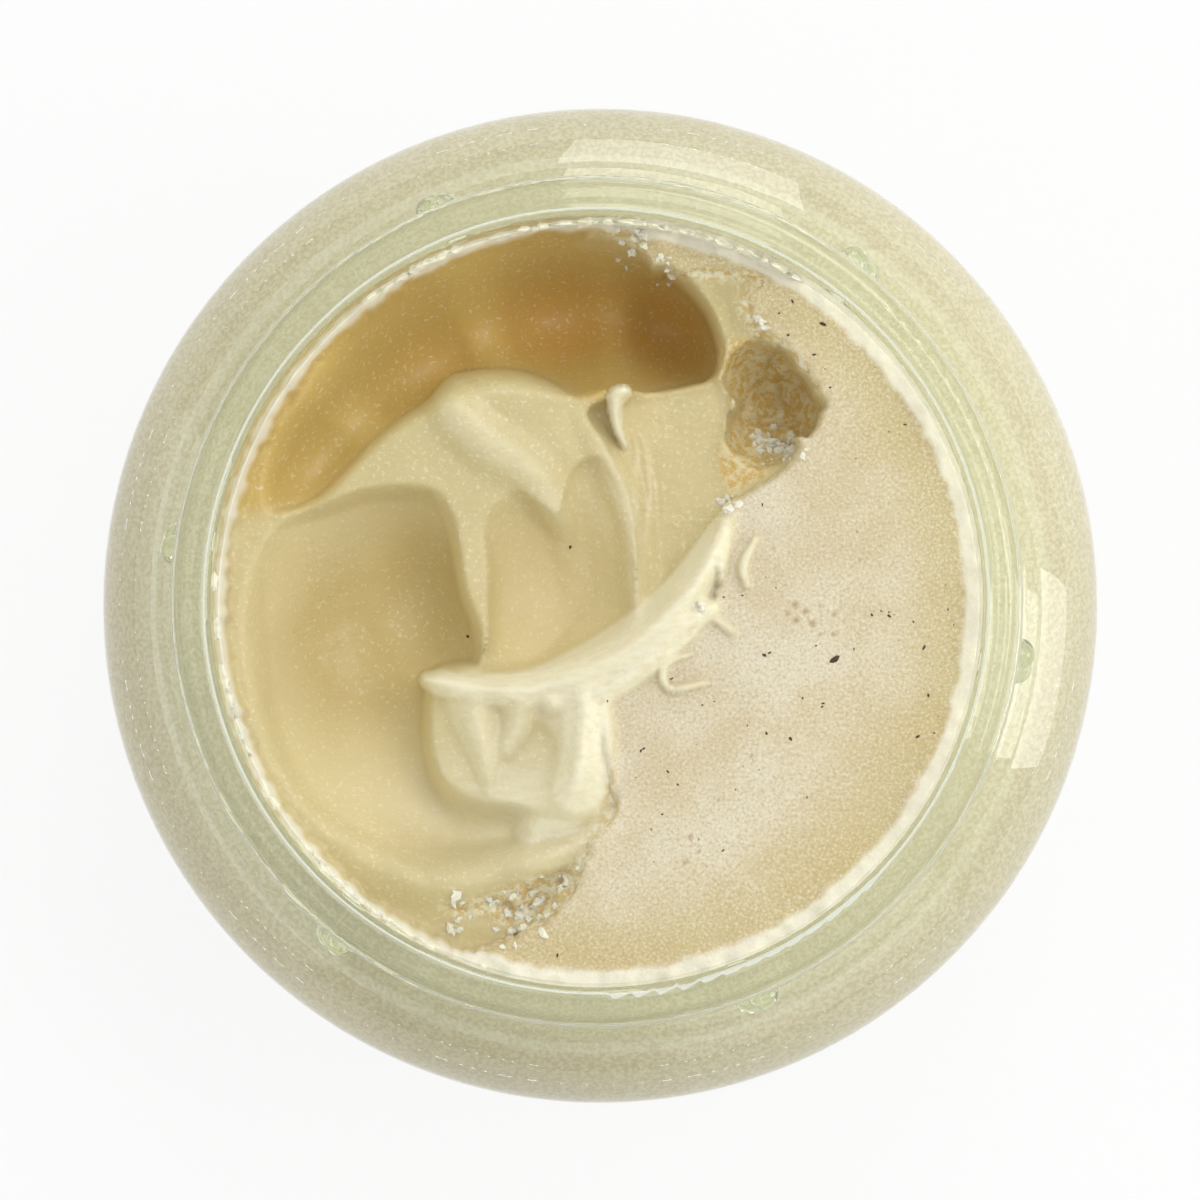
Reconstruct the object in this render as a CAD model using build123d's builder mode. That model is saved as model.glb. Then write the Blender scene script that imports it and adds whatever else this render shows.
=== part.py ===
"""Squat round honey jar of clear glass, with a twist-off neck and no lid.

It holds creamed honey that a spoon has dug into: a deep hollow behind, two
bowls in front of it, a fold between them and a raised ribbon, beside a
part of the surface that still has its skin of fine foam.

Millimetres, +Z up, origin at the middle of the base, where the jar stands.
"""
from build123d import *
from math import atan2, degrees, radians
import os

# Glass jar: outside
BODY_DIAMETER = 93.0
JAR_HEIGHT = 84.0
NECK_HEIGHT = 13.5           # lip down to where the shoulder starts
SHOULDER_HEIGHT = 11.5       # from the neck down to the full body width
SHOULDER_BULGE = 0.36        # how far the shoulder's arc bows out, share of its chord
HEEL_RADIUS = 7.0            # round edge between side and base
NECK_FILLET = 1.2
LIP_OUTER_RADIUS = 1.5
LIP_INNER_RADIUS = 1.1

# Glass jar: inside
MOUTH_DIAMETER = 70.1
NECK_WALL = 3.7              # between the lugs
BODY_WALL = 2.8
BASE_THICKNESS = 4.6
INNER_HEEL_RADIUS = 8.0

# Base: the jar stands on a flat ring between the heel and a shallow push-up
PUSH_UP_DIAMETER = 70.0
PUSH_UP_HEIGHT = 1.6

# Twist-off lugs: six short sloping beads, the end of one above the start of the next
LUG_COUNT = 6
LUG_RADIUS = 1.45            # the bead stands this far out of the neck
LUG_SPAN = 62.0              # degrees round the neck
LUG_DROP = 3.0               # fall from its high end to its low end
LUG_TOP = 4.2                # lip down to the middle of the high end
LUG_START = 22.0             # azimuth of the first step between two lugs

# Honey
HONEY_LEVEL = JAR_HEIGHT - 12.0
FILL_GAP = 0.05              # between honey and glass
FILM_THICKNESS = 1.0         # honey that stays on the glass beside the hollows
SKIN_THICKNESS = 1.4         # the dug honey starts this far below the foam skin

# Depths of the dug places below the level, and heights of what stands above it
HOLLOW_DEPTH = 18.0
BOWL_DEPTH = 13.5
SMALL_BOWL_DEPTH = 8.5
SHELF_DEPTH = 5.0
SIDE_PIT_DEPTH = 11.0
RIBBON_HEIGHT = 2.4

# Edges of the dug places, (x, y) from the middle of the mouth
DUG_EDGE = [(-1.5, 36.0), (2.7, 33.4), (7.0, 30.5), (14.9, 30.1), (15.0, 25.6), (19.4, 21.1),
            (20.7, 18.3), (17.7, 15.4), (16.2, 12.4), (11.6, 8.8), (10.5, 2.1), (7.6, -3.4),
            (1.0, -8.6), (1.2, -19.1), (-2.4, -26.0), (-8.5, -31.0), (-17.3, -31.0),
            (-33.0, -22.0), (-39.0, 0.0), (-30.0, 25.0)]
HOLLOW_EDGE = [(-31.9, 9.2), (-25.9, 10.2), (-19.0, 17.2), (-15.1, 20.4), (-9.3, 21.8),
               (-4.0, 20.3), (1.5, 19.0), (8.0, 20.3), (10.9, 24.0), (8.3, 28.6), (2.7, 32.6),
               (-2.0, 36.5), (-20.0, 33.0), (-35.0, 20.0)]
BOWL_EDGE = [(-32.6, 8.0), (-25.9, 9.5), (-19.6, 10.9), (-14.3, 9.9), (-12.5, 5.3),
             (-10.9, -1.1), (-11.2, -6.3), (-15.2, -9.2), (-14.0, -15.8), (-7.1, -18.1),
             (-1.2, -19.4), (-9.6, -25.4), (-16.2, -27.4), (-23.7, -24.2),
             (-29.4, -18.1), (-34.0, -3.4)]
SMALL_BOWL_EDGE = [(-10.2, -5.6), (-9.9, 4.0), (-9.8, 8.6), (-6.8, 9.8), (-3.8, 8.8),
                   (-2.1, 12.4), (0.2, 13.2), (2.0, 9.5), (2.8, 4.4), (2.9, -0.6), (-2.4, -4.6)]
SHELF_EDGE = [(0.6, 17.9), (7.6, 19.6), (9.9, 13.6), (10.7, 9.6), (8.2, 4.6), (4.3, -1.7),
              (4.1, 4.4), (3.6, 10.1), (1.6, 15.0)]
SIDE_PIT_EDGE = [(12.2, 22.9), (12.6, 18.9), (11.0, 13.6), (12.6, 10.2), (15.6, 12.8),
                 (17.4, 16.0), (20.2, 18.2), (17.6, 22.2), (14.6, 24.3)]

# Spoon strokes: centre (x, y), half length, half width, turn in degrees, depth below the level
HOLLOW_STROKES = [((4.0, 26.4), 9.0, 7.6, -35, HOLLOW_DEPTH),
                  ((-6.5, 27.2), 13.0, 8.2, 6, HOLLOW_DEPTH - 2),
                  ((-19.0, 20.6), 13.5, 7.4, 44, HOLLOW_DEPTH - 6)]
BOWL_STROKES = [((-20.6, -2.4), 11.0, 15.0, 4, BOWL_DEPTH),
                ((-13.6, -17.6), 19.0, 9.6, -16, BOWL_DEPTH - 5.5)]
SMALL_BOWL_STROKES = [((-4.0, 2.0), 7.6, 9.6, 6, SMALL_BOWL_DEPTH)]
SHELF_STROKES = [((7.0, 10.4), 8.0, 13.0, 0, SHELF_DEPTH)]
SIDE_PIT_STROKES = [((15.2, 17.0), 6.0, 9.0, -15, SIDE_PIT_DEPTH)]

# Strands of honey that lie on it, (x, y, top above the level, radius)
RIBBON = [(-15.6, -7.3, 0.0, 0.5), (-11.2, -8.2, 1.2, 1.4), (-5.9, -8.2, 1.9, 2.0),
          (-1.0, -7.0, RIBBON_HEIGHT, 2.3), (3.6, -4.4, RIBBON_HEIGHT, 2.0),
          (7.6, -0.6, 2.1, 1.6), (9.8, 3.6, 1.4, 1.3), (11.2, 7.8, 0.2, 0.5)]
LOOP = [(-1.0, -7.4, 1.8, 1.9), (-0.7, -11.0, 1.6, 2.2), (-0.8, -15.4, 1.1, 2.6),
        (-3.3, -19.8, 0.3, 2.9), (-8.2, -22.6, -0.9, 2.4), (-12.6, -24.2, -1.8, 1.2)]
LOBE_CREST = [(-14.2, 18.6, -1.2, 0.8), (-11.1, 14.9, -0.6, 1.5), (-6.9, 11.6, -1.2, 1.3),
              (-3.9, 7.8, -3.4, 0.6)]
SHELF_CREST = [(-0.3, 16.6, -1.4, 0.8), (1.6, 12.6, -0.9, 1.4), (3.1, 7.9, -1.0, 1.2),
               (3.5, 2.0, -1.0, 1.2), (4.2, -2.6, -0.6, 0.9)]
TOOTH_CENTRE = (-10.4, -12.6)
TOOTH_HALF_SIZE = (5.6, 3.2, 4.2)
TOOTH_TURN = -18
TOOTH_TOP = 0.2

# The jar: outside turned in one piece, then hollowed
body_radius = BODY_DIAMETER / 2
mouth_radius = MOUTH_DIAMETER / 2
neck_radius = mouth_radius + NECK_WALL
neck_foot = JAR_HEIGHT - NECK_HEIGHT
shoulder_foot = neck_foot - SHOULDER_HEIGHT


def bulge_point(start, end, share):
    """Middle of an arc from start to end that bows outward by a share of its chord."""
    chord = Vector(*end) - Vector(*start)
    outward = Vector(-chord.Y, chord.X).normalized()
    if outward.X < 0:
        outward = -outward
    middle = (Vector(*start) + Vector(*end)) * 0.5 + outward * chord.length * share / 2
    return (middle.X, middle.Y)


def cavity_section(gap, top):
    """Half section of the space in the glass, drawn a gap inside its wall."""
    bore = mouth_radius - gap
    side = body_radius - BODY_WALL - gap
    floor = BASE_THICKNESS + gap
    bore_foot = (bore, neck_foot - BODY_WALL / 2 - gap)
    side_top = (side, shoulder_foot - gap)
    with BuildSketch(Plane.XZ) as section:
        with BuildLine():
            Line((0, top), (bore, top))
            Line((bore, top), bore_foot)
            ThreePointArc(bore_foot, bulge_point(bore_foot, side_top, SHOULDER_BULGE), side_top)
            Line(side_top, (side, floor + INNER_HEEL_RADIUS))
            RadiusArc((side, floor + INNER_HEEL_RADIUS), (side - INNER_HEEL_RADIUS, floor),
                      INNER_HEEL_RADIUS)
            Line((side - INNER_HEEL_RADIUS, floor), (0, floor))
            Line((0, floor), (0, top))
        make_face()
    return section.sketch


with BuildPart() as glass_jar:
    neck_corner = (neck_radius, neck_foot)
    side_top = (body_radius, shoulder_foot)
    ring_radius = body_radius - HEEL_RADIUS
    push_up_radius = PUSH_UP_DIAMETER / 2
    dome_radius = (push_up_radius ** 2 + PUSH_UP_HEIGHT ** 2) / (2 * PUSH_UP_HEIGHT)
    with BuildSketch(Plane.XZ):
        with BuildLine():
            Line((0, JAR_HEIGHT), (neck_radius, JAR_HEIGHT))
            Line((neck_radius, JAR_HEIGHT), neck_corner)
            ThreePointArc(neck_corner, bulge_point(neck_corner, side_top, SHOULDER_BULGE), side_top)
            Line(side_top, (body_radius, HEEL_RADIUS))
            RadiusArc((body_radius, HEEL_RADIUS), (ring_radius, 0), HEEL_RADIUS)
            Line((ring_radius, 0), (push_up_radius, 0))
            RadiusArc((push_up_radius, 0), (0, PUSH_UP_HEIGHT), -dome_radius)
            Line((0, PUSH_UP_HEIGHT), (0, JAR_HEIGHT))
        make_face()
    revolve(axis=Axis.Z)
    neck_root = glass_jar.edges().filter_by(GeomType.CIRCLE).filter_by_position(
        Axis.Z, neck_foot - 0.01, neck_foot + 0.01)
    fillet(neck_root, NECK_FILLET)
    lip_edge = glass_jar.edges().group_by(Axis.Z)[-1]
    fillet(lip_edge, LIP_OUTER_RADIUS)

    add(cavity_section(0, JAR_HEIGHT))
    revolve(axis=Axis.Z, mode=Mode.SUBTRACT)
    mouth_edge = glass_jar.edges().group_by(Axis.Z)[-1].sort_by(SortBy.RADIUS)[0]
    fillet(mouth_edge, LIP_INNER_RADIUS)

    # One lug: an arc of a bead, half sunk in the neck, with round ends and a slight slope
    slope = degrees(atan2(LUG_DROP, radians(LUG_SPAN) * neck_radius))
    with BuildPart(mode=Mode.PRIVATE) as lug:
        Torus(neck_radius, LUG_RADIUS, major_angle=LUG_SPAN, rotation=(0, 0, -LUG_SPAN / 2))
        with PolarLocations(neck_radius, 2, start_angle=-LUG_SPAN / 2, angular_range=LUG_SPAN,
                            endpoint=True):
            Sphere(LUG_RADIUS)
        Cylinder(mouth_radius + NECK_WALL / 2, 4 * LUG_RADIUS, mode=Mode.SUBTRACT)
    lug_middle = JAR_HEIGHT - LUG_TOP - LUG_DROP / 2
    with Locations((0, 0, lug_middle)), PolarLocations(0, LUG_COUNT, start_angle=LUG_START):
        add(lug.part, rotation=(slope, 0, 0))
glass_jar.part.label = "glass_jar"


def ellipsoid(centre, top_level, half_length, half_width, half_height, turn):
    """Ellipsoid with its middle at the given level and its poles lengthways."""
    sphere = Sphere(1, rotation=(0, 90, 0), mode=Mode.PRIVATE)
    ball = scale(sphere, by=(half_length, half_width, half_height), mode=Mode.PRIVATE)
    return Location((*centre, top_level), (0, 0, turn)) * ball


def dug_out(edge, strokes):
    """Solid that a few spoon strokes take away, kept inside an edge and off the glass."""
    deepest = max(depth for *_, depth in strokes) + 1
    with BuildPart(mode=Mode.PRIVATE) as removed:
        for centre, half_length, half_width, turn, depth in strokes:
            add(ellipsoid(centre, HONEY_LEVEL, half_length, half_width, depth, turn))
        with BuildSketch(Plane.XY.offset(HONEY_LEVEL - deepest)):
            with BuildLine():
                Spline(*edge, periodic=True)
            make_face()
            Circle(mouth_radius - FILM_THICKNESS, mode=Mode.INTERSECT)
        extrude(amount=deepest + 1, dir=(0, 0, 1), mode=Mode.INTERSECT)
    return removed.part


def strand(route):
    """Tapering round strand through places of (x, y, top, radius)."""
    centres = [Vector(x, y, HONEY_LEVEL + top - radius) for x, y, top, radius in route]
    with BuildLine(mode=Mode.PRIVATE) as line:
        Spline(*centres)
    edge = line.edges()[0]
    with BuildPart(mode=Mode.PRIVATE) as body:
        for centre, (*_, radius) in zip(centres, route):
            place = edge.param_at_point(centre)
            with BuildSketch(Plane(origin=centre, z_dir=edge % place)):
                Circle(radius)
        loft()
    return body.part


# The honey: the cavity filled to the level, the skin torn off and the hollows dug
with BuildPart() as creamed_honey:
    add(cavity_section(FILL_GAP, HONEY_LEVEL))
    revolve(axis=Axis.Z)
    with BuildSketch(Plane.XY.offset(HONEY_LEVEL - SKIN_THICKNESS)):
        with BuildLine():
            Spline(*DUG_EDGE, periodic=True)
        make_face()
        Circle(mouth_radius - FILM_THICKNESS, mode=Mode.INTERSECT)
    extrude(amount=SKIN_THICKNESS + 1, dir=(0, 0, 1), mode=Mode.SUBTRACT)
    for edge, strokes in ((HOLLOW_EDGE, HOLLOW_STROKES), (BOWL_EDGE, BOWL_STROKES),
                          (SMALL_BOWL_EDGE, SMALL_BOWL_STROKES), (SHELF_EDGE, SHELF_STROKES),
                          (SIDE_PIT_EDGE, SIDE_PIT_STROKES)):
        add(dug_out(edge, strokes), mode=Mode.SUBTRACT)
    tooth_level = HONEY_LEVEL + TOOTH_TOP - TOOTH_HALF_SIZE[2]
    add(ellipsoid(TOOTH_CENTRE, tooth_level, *TOOTH_HALF_SIZE, TOOTH_TURN))
    for route in (LOBE_CREST, SHELF_CREST, LOOP, RIBBON):
        add(strand(route))
creamed_honey.part.label = "creamed_honey"

os.makedirs("parts", exist_ok=True)
for piece in (glass_jar, creamed_honey):
    export_step(piece.part, f"parts/{piece.part.label}.step")
    print(piece.part.label, len(piece.part.solids()), round(piece.part.volume, 1))
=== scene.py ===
"""Open glass honey jar with dug creamed honey: the finishes and fine shapes round the CAD frame.

Places on the honey are millimetres from the middle of the mouth, heights are millimetres from
the level that the jar was filled to. Meshes are metres, in the frame of the CAD model.
"""
import math

import bpy
import numpy as np
from mathutils import Matrix, Vector


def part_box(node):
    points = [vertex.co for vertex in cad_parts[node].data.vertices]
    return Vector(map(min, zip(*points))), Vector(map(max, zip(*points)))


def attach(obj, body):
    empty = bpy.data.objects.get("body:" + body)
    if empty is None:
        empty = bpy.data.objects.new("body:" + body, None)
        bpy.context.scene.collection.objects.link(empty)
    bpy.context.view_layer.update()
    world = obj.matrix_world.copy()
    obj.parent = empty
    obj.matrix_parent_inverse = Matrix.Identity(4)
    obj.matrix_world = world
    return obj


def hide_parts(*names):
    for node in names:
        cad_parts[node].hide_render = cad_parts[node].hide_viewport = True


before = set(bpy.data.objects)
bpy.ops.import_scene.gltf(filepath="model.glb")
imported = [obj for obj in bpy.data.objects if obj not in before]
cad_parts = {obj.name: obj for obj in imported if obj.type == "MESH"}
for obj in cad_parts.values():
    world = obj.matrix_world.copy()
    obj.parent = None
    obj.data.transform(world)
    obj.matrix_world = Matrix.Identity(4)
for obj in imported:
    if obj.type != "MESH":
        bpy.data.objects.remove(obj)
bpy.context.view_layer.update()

bl_info = {
    "name": "Open honey jar",
    "version": (1, 0, 0),
    "blender": (4, 5, 0),
    "location": "View3D > Sidebar > Honey jar",
    "description": "Builds the looks of an open jar of creamed honey round its CAD frame",
    "category": "Object",
}

MM = 0.001

# Sizes of the jar, read from the frame where it gives them
JAR_LOW, JAR_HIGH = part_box("glass_jar")
JAR_HEIGHT = JAR_HIGH.z / MM
BODY_RADIUS = JAR_HIGH.x / MM
MOUTH_RADIUS = 35.05
BODY_WALL = 2.8
BASE_THICKNESS = 4.6
INNER_HEEL_RADIUS = 8.0
NECK_HEIGHT = 13.5
SHOULDER_HEIGHT = 11.5
SHOULDER_BULGE = 0.36
LEVEL = JAR_HEIGHT - 12.0
WALL_BITE = 0.12             # the honey reaches this far into the glass, so no air shows


def from_screen(red, green, blue):
    """Linear colour of a colour given as 0 to 255 display values."""
    channels = []
    for value in (red, green, blue):
        share = value / 255
        channels.append(share / 12.92 if share < 0.04045 else ((share + 0.055) / 1.055) ** 2.4)
    return tuple(channels)


# Dug places on the honey: closed outlines, (x, y)
HOLLOW_FRONT = [(-32.0, 8.4), (-25.9, 10.2), (-19.0, 17.2), (-16.3, 19.1), (-14.5, 21.1),
                (-13.0, 21.8), (-9.3, 21.9), (-6.5, 21.3), (-4.0, 20.3), (-1.7, 18.9), (0.2, 18.4),
                (3.0, 19.3), (7.9, 20.3), (10.1, 21.0), (10.9, 23.3), (10.1, 26.3), (8.3, 28.6),
                (5.6, 30.8), (2.7, 32.6), (0.2, 33.6), (-1.4, 34.4), (3.9, 41.7), (37.0, 37.1),
                (46.3, 0.3), (37.0, -36.5), (0.2, -45.7), (-36.6, -36.5), (-45.8, 0.3),
                (-35.7, 7.7)]
LARGE_BOWL = [(-32.4, 8.1), (-25.9, 9.5), (-22.4, 10.6), (-19.6, 10.9), (-16.3, 10.9),
              (-14.3, 10.0), (-13.0, 7.7), (-12.5, 5.4), (-11.9, 1.6), (-10.9, -1.1),
              (-10.5, -3.4), (-10.8, -6.3), (-14.5, -7.1), (-15.3, -8.9), (-15.3, -12.6),
              (-14.1, -15.8), (-11.3, -17.7), (-7.2, -18.1), (-2.6, -19.2), (0.2, -19.2),
              (-0.4, -21.5), (-2.6, -23.0), (-5.9, -24.6), (-9.6, -25.8), (-13.3, -26.7),
              (-16.2, -27.6), (-20.9, -26.0), (-23.7, -23.8), (-28.8, -18.1), (-32.0, -10.7),
              (-33.3, -3.4), (-33.3, 3.1)]
SMALL_BOWL = [(-10.7, -6.3), (-10.3, -3.4), (-10.2, 0.3), (-10.2, 4.0), (-10.5, 7.6),
              (-10.3, 8.8), (-9.3, 9.8), (-8.1, 10.1), (-6.9, 9.9), (-5.4, 8.9), (-3.8, 8.4),
              (-2.1, 12.3), (0.2, 13.2), (1.5, 11.4), (2.4, 9.5), (3.0, 7.9), (3.3, 4.4),
              (3.3, -0.6), (1.1, -3.1), (-2.4, -5.0), (-5.9, -6.0)]
SHELF = [(-0.7, 18.3), (7.9, 20.1), (10.9, 20.7), (12.2, 18.7), (12.0, 16.8), (10.9, 13.6),
         (11.4, 11.0), (11.3, 9.1), (8.5, 5.4), (6.4, 0.3), (3.9, -2.3), (3.5, 4.4), (3.2, 7.9),
         (2.8, 10.1), (1.7, 12.6), (0.4, 15.0)]
SIDE_PIT = [(10.7, 23.3), (12.3, 18.9), (12.0, 16.8), (10.7, 13.6), (11.4, 11.0), (11.6, 9.5),
            (13.2, 10.2), (14.9, 11.4), (17.7, 13.7), (18.6, 15.0), (20.5, 16.4), (20.8, 18.2),
            (19.5, 20.5), (17.6, 23.0), (16.0, 23.8), (13.6, 24.7)]
BARE_SLOPE = [(-1.4, 34.8), (3.6, 33.4), (4.8, 31.4), (7.0, 30.5), (14.9, 30.1), (13.8, 27.7),
              (14.9, 24.9), (17.2, 23.8), (13.6, 23.8), (10.9, 23.3), (10.1, 26.3), (8.3, 28.6),
              (5.6, 30.8), (2.7, 32.6), (0.2, 33.5)]
FOAM_SKIN = [(0.2, 36.1), (3.6, 33.4), (4.8, 31.4), (7.0, 30.5), (14.9, 30.1), (13.8, 27.7),
             (14.9, 24.9), (17.2, 23.8), (19.2, 21.3), (20.6, 18.7), (19.7, 16.0), (17.7, 15.4),
             (18.2, 14.1), (15.9, 11.8), (13.2, 10.0), (11.6, 8.8), (10.5, 5.8), (10.9, 2.1),
             (10.0, -0.8), (7.6, -3.4), (3.9, -5.7), (0.7, -8.0), (0.0, -10.7), (0.9, -15.3),
             (1.3, -19.1), (-0.4, -21.5), (-1.4, -24.6), (-3.5, -27.8), (-7.2, -30.3),
             (-12.7, -31.9), (-17.3, -31.5), (-16.4, -36.6), (0.2, -39.4), (27.8, -32.9),
             (39.9, 0.3), (28.8, 28.9), (9.4, 39.1)]
CRUMB_PIT = [(-16.4, -27.8), (-13.3, -26.9), (-9.6, -26.0), (-5.9, -24.7), (-2.6, -23.2),
             (-1.6, -22.7), (-1.8, -25.9), (-3.5, -28.0), (-7.2, -30.1), (-11.8, -29.3),
             (-14.5, -28.7)]

# Levels of the dug honey at named places, (x, y, height)
DUG_LEVEL = [(-30.2, 8.8, -4.5), (-23.7, 11.8, -3.0), (-18.2, 16.0, -2.0), (-11.8, 20.1, -0.3),
             (-5.3, 20.1, -0.8), (-15.4, 12.3, -2.8), (-9.0, 15.0, -1.8), (-9.0, 9.5, -3.2),
             (-3.5, 15.0, -2.6), (-1.6, 7.7, -4.2), (1.1, 16.0, -3.0), (4.8, 16.9, -4.2),
             (9.4, 20.6, -3.5), (7.6, 9.5, -4.5), (4.8, 2.1, -3.5), (-11.8, 0.3, -3.2),
             (-10.8, 4.0, -3.5), (0.2, 0.3, -3.5), (9.4, 25.2, -1.2), (5.7, 31.6, -1.2),
             (-13.6, -8.9, -2.0), (-5.3, -8.9, -1.0), (-1.6, -14.4, -1.5), (-3.5, -20.9, -1.5),
             (-13.6, -25.5, -3.0), (-23.7, -22.7, -3.5), (-31.1, -12.6, -3.5),
             (-32.9, 0.3, -4.0), (18.6, 0.3, -1.0), (16.8, 27.9, -0.6)]

# Soft crest lines of folds, (x, y, rise, half width)
CRESTS = [[(-15.2, 21.0, 0.1, 1.2), (-14.4, 19.2, 0.7, 1.5), (-12.6, 16.6, 1.0, 1.9),
           (-9.6, 14.2, 1.0, 2.0), (-6.2, 12.0, 0.9, 1.8), (-4.0, 8.6, 0.9, 1.5),
           (-3.0, 5.2, 0.5, 1.3), (-2.6, 2.2, 0.1, 1.0)],
          [(-1.3, 16.9, 0.2, 1.0), (0.8, 13.4, 0.8, 1.4), (2.9, 8.7, 1.0, 1.4),
           (3.4, 4.4, 0.9, 1.3), (3.6, 0.2, 0.9, 1.2), (4.0, -2.5, 0.3, 1.0)],
          [(-9.2, -8.4, 0.1, 0.8), (-5.6, -9.6, 0.7, 1.3), (-3.4, -11.4, 0.9, 1.4),
           (-2.6, -14.4, 0.8, 1.4), (-3.2, -18.2, 0.5, 1.4)],
          [(1.0, -10.0, 0.2, 0.5), (1.2, -13.6, 0.4, 0.6), (0.8, -17.4, 0.3, 0.6),
           (-0.8, -20.4, 0.1, 0.5)],
          [(-1.8, -8.6, 0.1, 0.5), (-1.6, -12.0, 0.4, 0.6), (-2.0, -16.0, 0.35, 0.6),
           (-4.0, -19.4, 0.1, 0.5)],
          [(3.3, 15.0, 0.1, 0.3), (3.6, 11.0, 0.35, 0.45), (3.7, 7.0, 0.2, 0.45)],
          [(4.0, 15.2, 0.1, 0.3), (4.7, 10.0, 0.35, 0.45), (4.8, 6.0, 0.3, 0.5),
           (5.2, 1.2, 0.2, 0.5)],
          [(-13.0, -7.6, 0.1, 0.35), (-7.0, -8.0, 0.2, 0.4), (-1.0, -6.4, 0.25, 0.5),
           (4.0, -3.2, 0.25, 0.5), (8.0, 1.0, 0.2, 0.45)],
          [(-2.0, -7.4, 0.1, 0.3), (2.6, -5.4, 0.25, 0.45), (6.6, -2.4, 0.25, 0.45),
           (9.6, 1.6, 0.1, 0.4)]]
FRONT_LIP = [(-0.6, -16.5, 0.1, 2.4), (-2.0, -19.6, 1.1, 3.2), (-5.2, -22.4, 1.6, 3.2),
             (-10.0, -24.4, 1.7, 2.6), (-15.0, -25.2, 1.6, 2.6), (-20.0, -23.8, 1.0, 2.6),
             (-24.5, -20.6, 0.3, 2.4)]

# Folds and strands that lie on the honey, (x, y, top, half width)
TONGUE = [(-12.0, -8.2, 0.5, 3.0), (-11.2, -10.8, 0.6, 3.0), (-10.6, -13.4, 0.3, 2.4),
          (-10.2, -15.6, -0.4, 1.7), (-10.0, -17.0, -1.2, 1.1)]
TONGUE_FOLD = [(-7.6, -8.6, 0.9, 2.4), (-7.4, -11.0, 0.7, 2.2), (-8.4, -13.2, 0.1, 1.6)]
LOOP = [(-1.6, -7.6, 1.9, 3.0), (-0.9, -10.8, 1.9, 3.3), (-1.0, -14.2, 1.5, 3.5),
        (-1.8, -17.0, 0.9, 3.6), (-3.2, -19.4, -0.2, 3.4), (-5.4, -21.2, -1.6, 3.0)]
RIBBON = [(-15.9, -7.0, -0.2, 1.1), (-14.6, -7.3, 0.9, 1.6), (-11.2, -8.0, 1.4, 1.9),
          (-5.9, -7.9, 1.9, 2.4), (-1.6, -6.6, 2.3, 3.0), (2.1, -4.8, 2.5, 3.3),
          (5.3, -2.4, 2.6, 3.3), (7.9, 0.2, 2.5, 3.1), (9.9, 3.2, 2.1, 2.6),
          (11.3, 6.2, 1.2, 1.9), (12.2, 8.6, 0.2, 1.0)]
RIBBON_EDGE = [(-4.0, -9.2, 1.0, 1.6), (0.6, -8.0, 1.5, 1.9), (4.4, -5.4, 1.8, 2.0),
               (7.6, -2.6, 1.8, 1.9), (10.2, -0.4, 1.2, 1.5)]
THREADS = [[(2.3, 19.6, -0.6, 0.8), (1.7, 19.2, -0.7, 0.9), (1.5, 17.8, -1.4, 0.7),
            (1.8, 16.0, -2.4, 0.5), (2.4, 14.6, -3.4, 0.3)],
           [(10.6, -1.4, 0.7, 0.45), (12.3, -2.6, 0.6, 0.5)],
           [(14.4, 5.8, 0.7, 0.35), (13.3, 3.4, 0.9, 0.55), (13.6, 1.6, 0.6, 0.4)],
           [(8.7, -4.6, 0.4, 0.3), (6.5, -5.4, 0.8, 0.4), (5.9, -6.8, 0.8, 0.45),
            (6.8, -7.9, 0.8, 0.45), (9.6, -7.4, 0.6, 0.35)]]
BUBBLES = [(18.0, -0.2, 0.45), (19.0, -0.8, 0.45), (18.1, -1.6, 0.45), (19.6, -1.9, 0.5),
           (21.6, -1.1, 0.35), (21.6, -2.9, 0.35), (17.4, -1.0, 0.3), (20.4, -0.3, 0.28),
           (8.4, -21.5, 0.4), (7.9, -23.8, 0.38), (9.2, -22.8, 0.3), (20.3, -2.9, 0.3),
           (14.0, -14.0, 0.3), (11.0, -18.0, 0.28), (24.0, 4.0, 0.26), (16.0, 5.0, 0.26)]


# Spoon marks that run into one another: (centre, half length, half width, turn, rim, floor) and
# how far each is rounded into the ones before it
HOLLOW_MARKS = [((5.7, 25.9), 9.5, 7.2, -35, -2.0, -18.0, 0),
                ((-3.5, 26.8), 12.0, 8.0, 5, -2.0, -17.0, 6),
                ((-15.4, 22.6), 12.0, 7.6, 35, -2.0, -14.0, 6),
                ((-25.1, 14.1), 9.0, 5.0, 50, -3.0, -9.0, 5)]
LARGE_MARKS = [((-21.4, -3.4), 13.0, 16.0, 0, -3.0, -13.5, 0),
               ((-13.6, -16.3), 19.0, 12.0, -15, -1.8, -8.3, 5),
               ((-16.4, 0.3), 8.5, 12.0, 10, -2.0, -13.5, 4)]
SMALL_MARKS = [((-4.2, 1.2), 10.0, 10.5, 0, -2.2, -9.2, 0), ((-1.6, 11.4), 6.0, 10.0, 10, -2.5, -5.0, 3)]
PIT_MARKS = [((16.3, 18.3), 6.5, 7.5, -20, -1.0, -11.0, 0)]
# The painted depth sets painted light and shade on the dug honey.
DEEPEST = 18                 # depth that counts as one in the painted depth
SIDE_DEPTH = 0.25            # painted depth of the honey below the level
HOLLOW_BRIM = -2.5
PIT_BRIM = -1.5
SHELF_LEVEL = -5.0

# Wet places: (x, y, reach along x, reach along y, strength)
WET = [(8.2, 12.5, 4.5, 6.5, 1.0), (-10.0, 18.2, 2.5, 2.5, 1.0), (-26.5, 0.0, 3.0, 9.0, 0.7)]
# Where the front of the dug honey is smeared over in cream
SMEAR = (-7.0, -18.5, 9.5, 6.0, 0.75)


def ease(t):
    """Zero to one with a soft start and end."""
    t = np.clip(t, 0, 1)
    return t * t * (3 - 2 * t)


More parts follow.
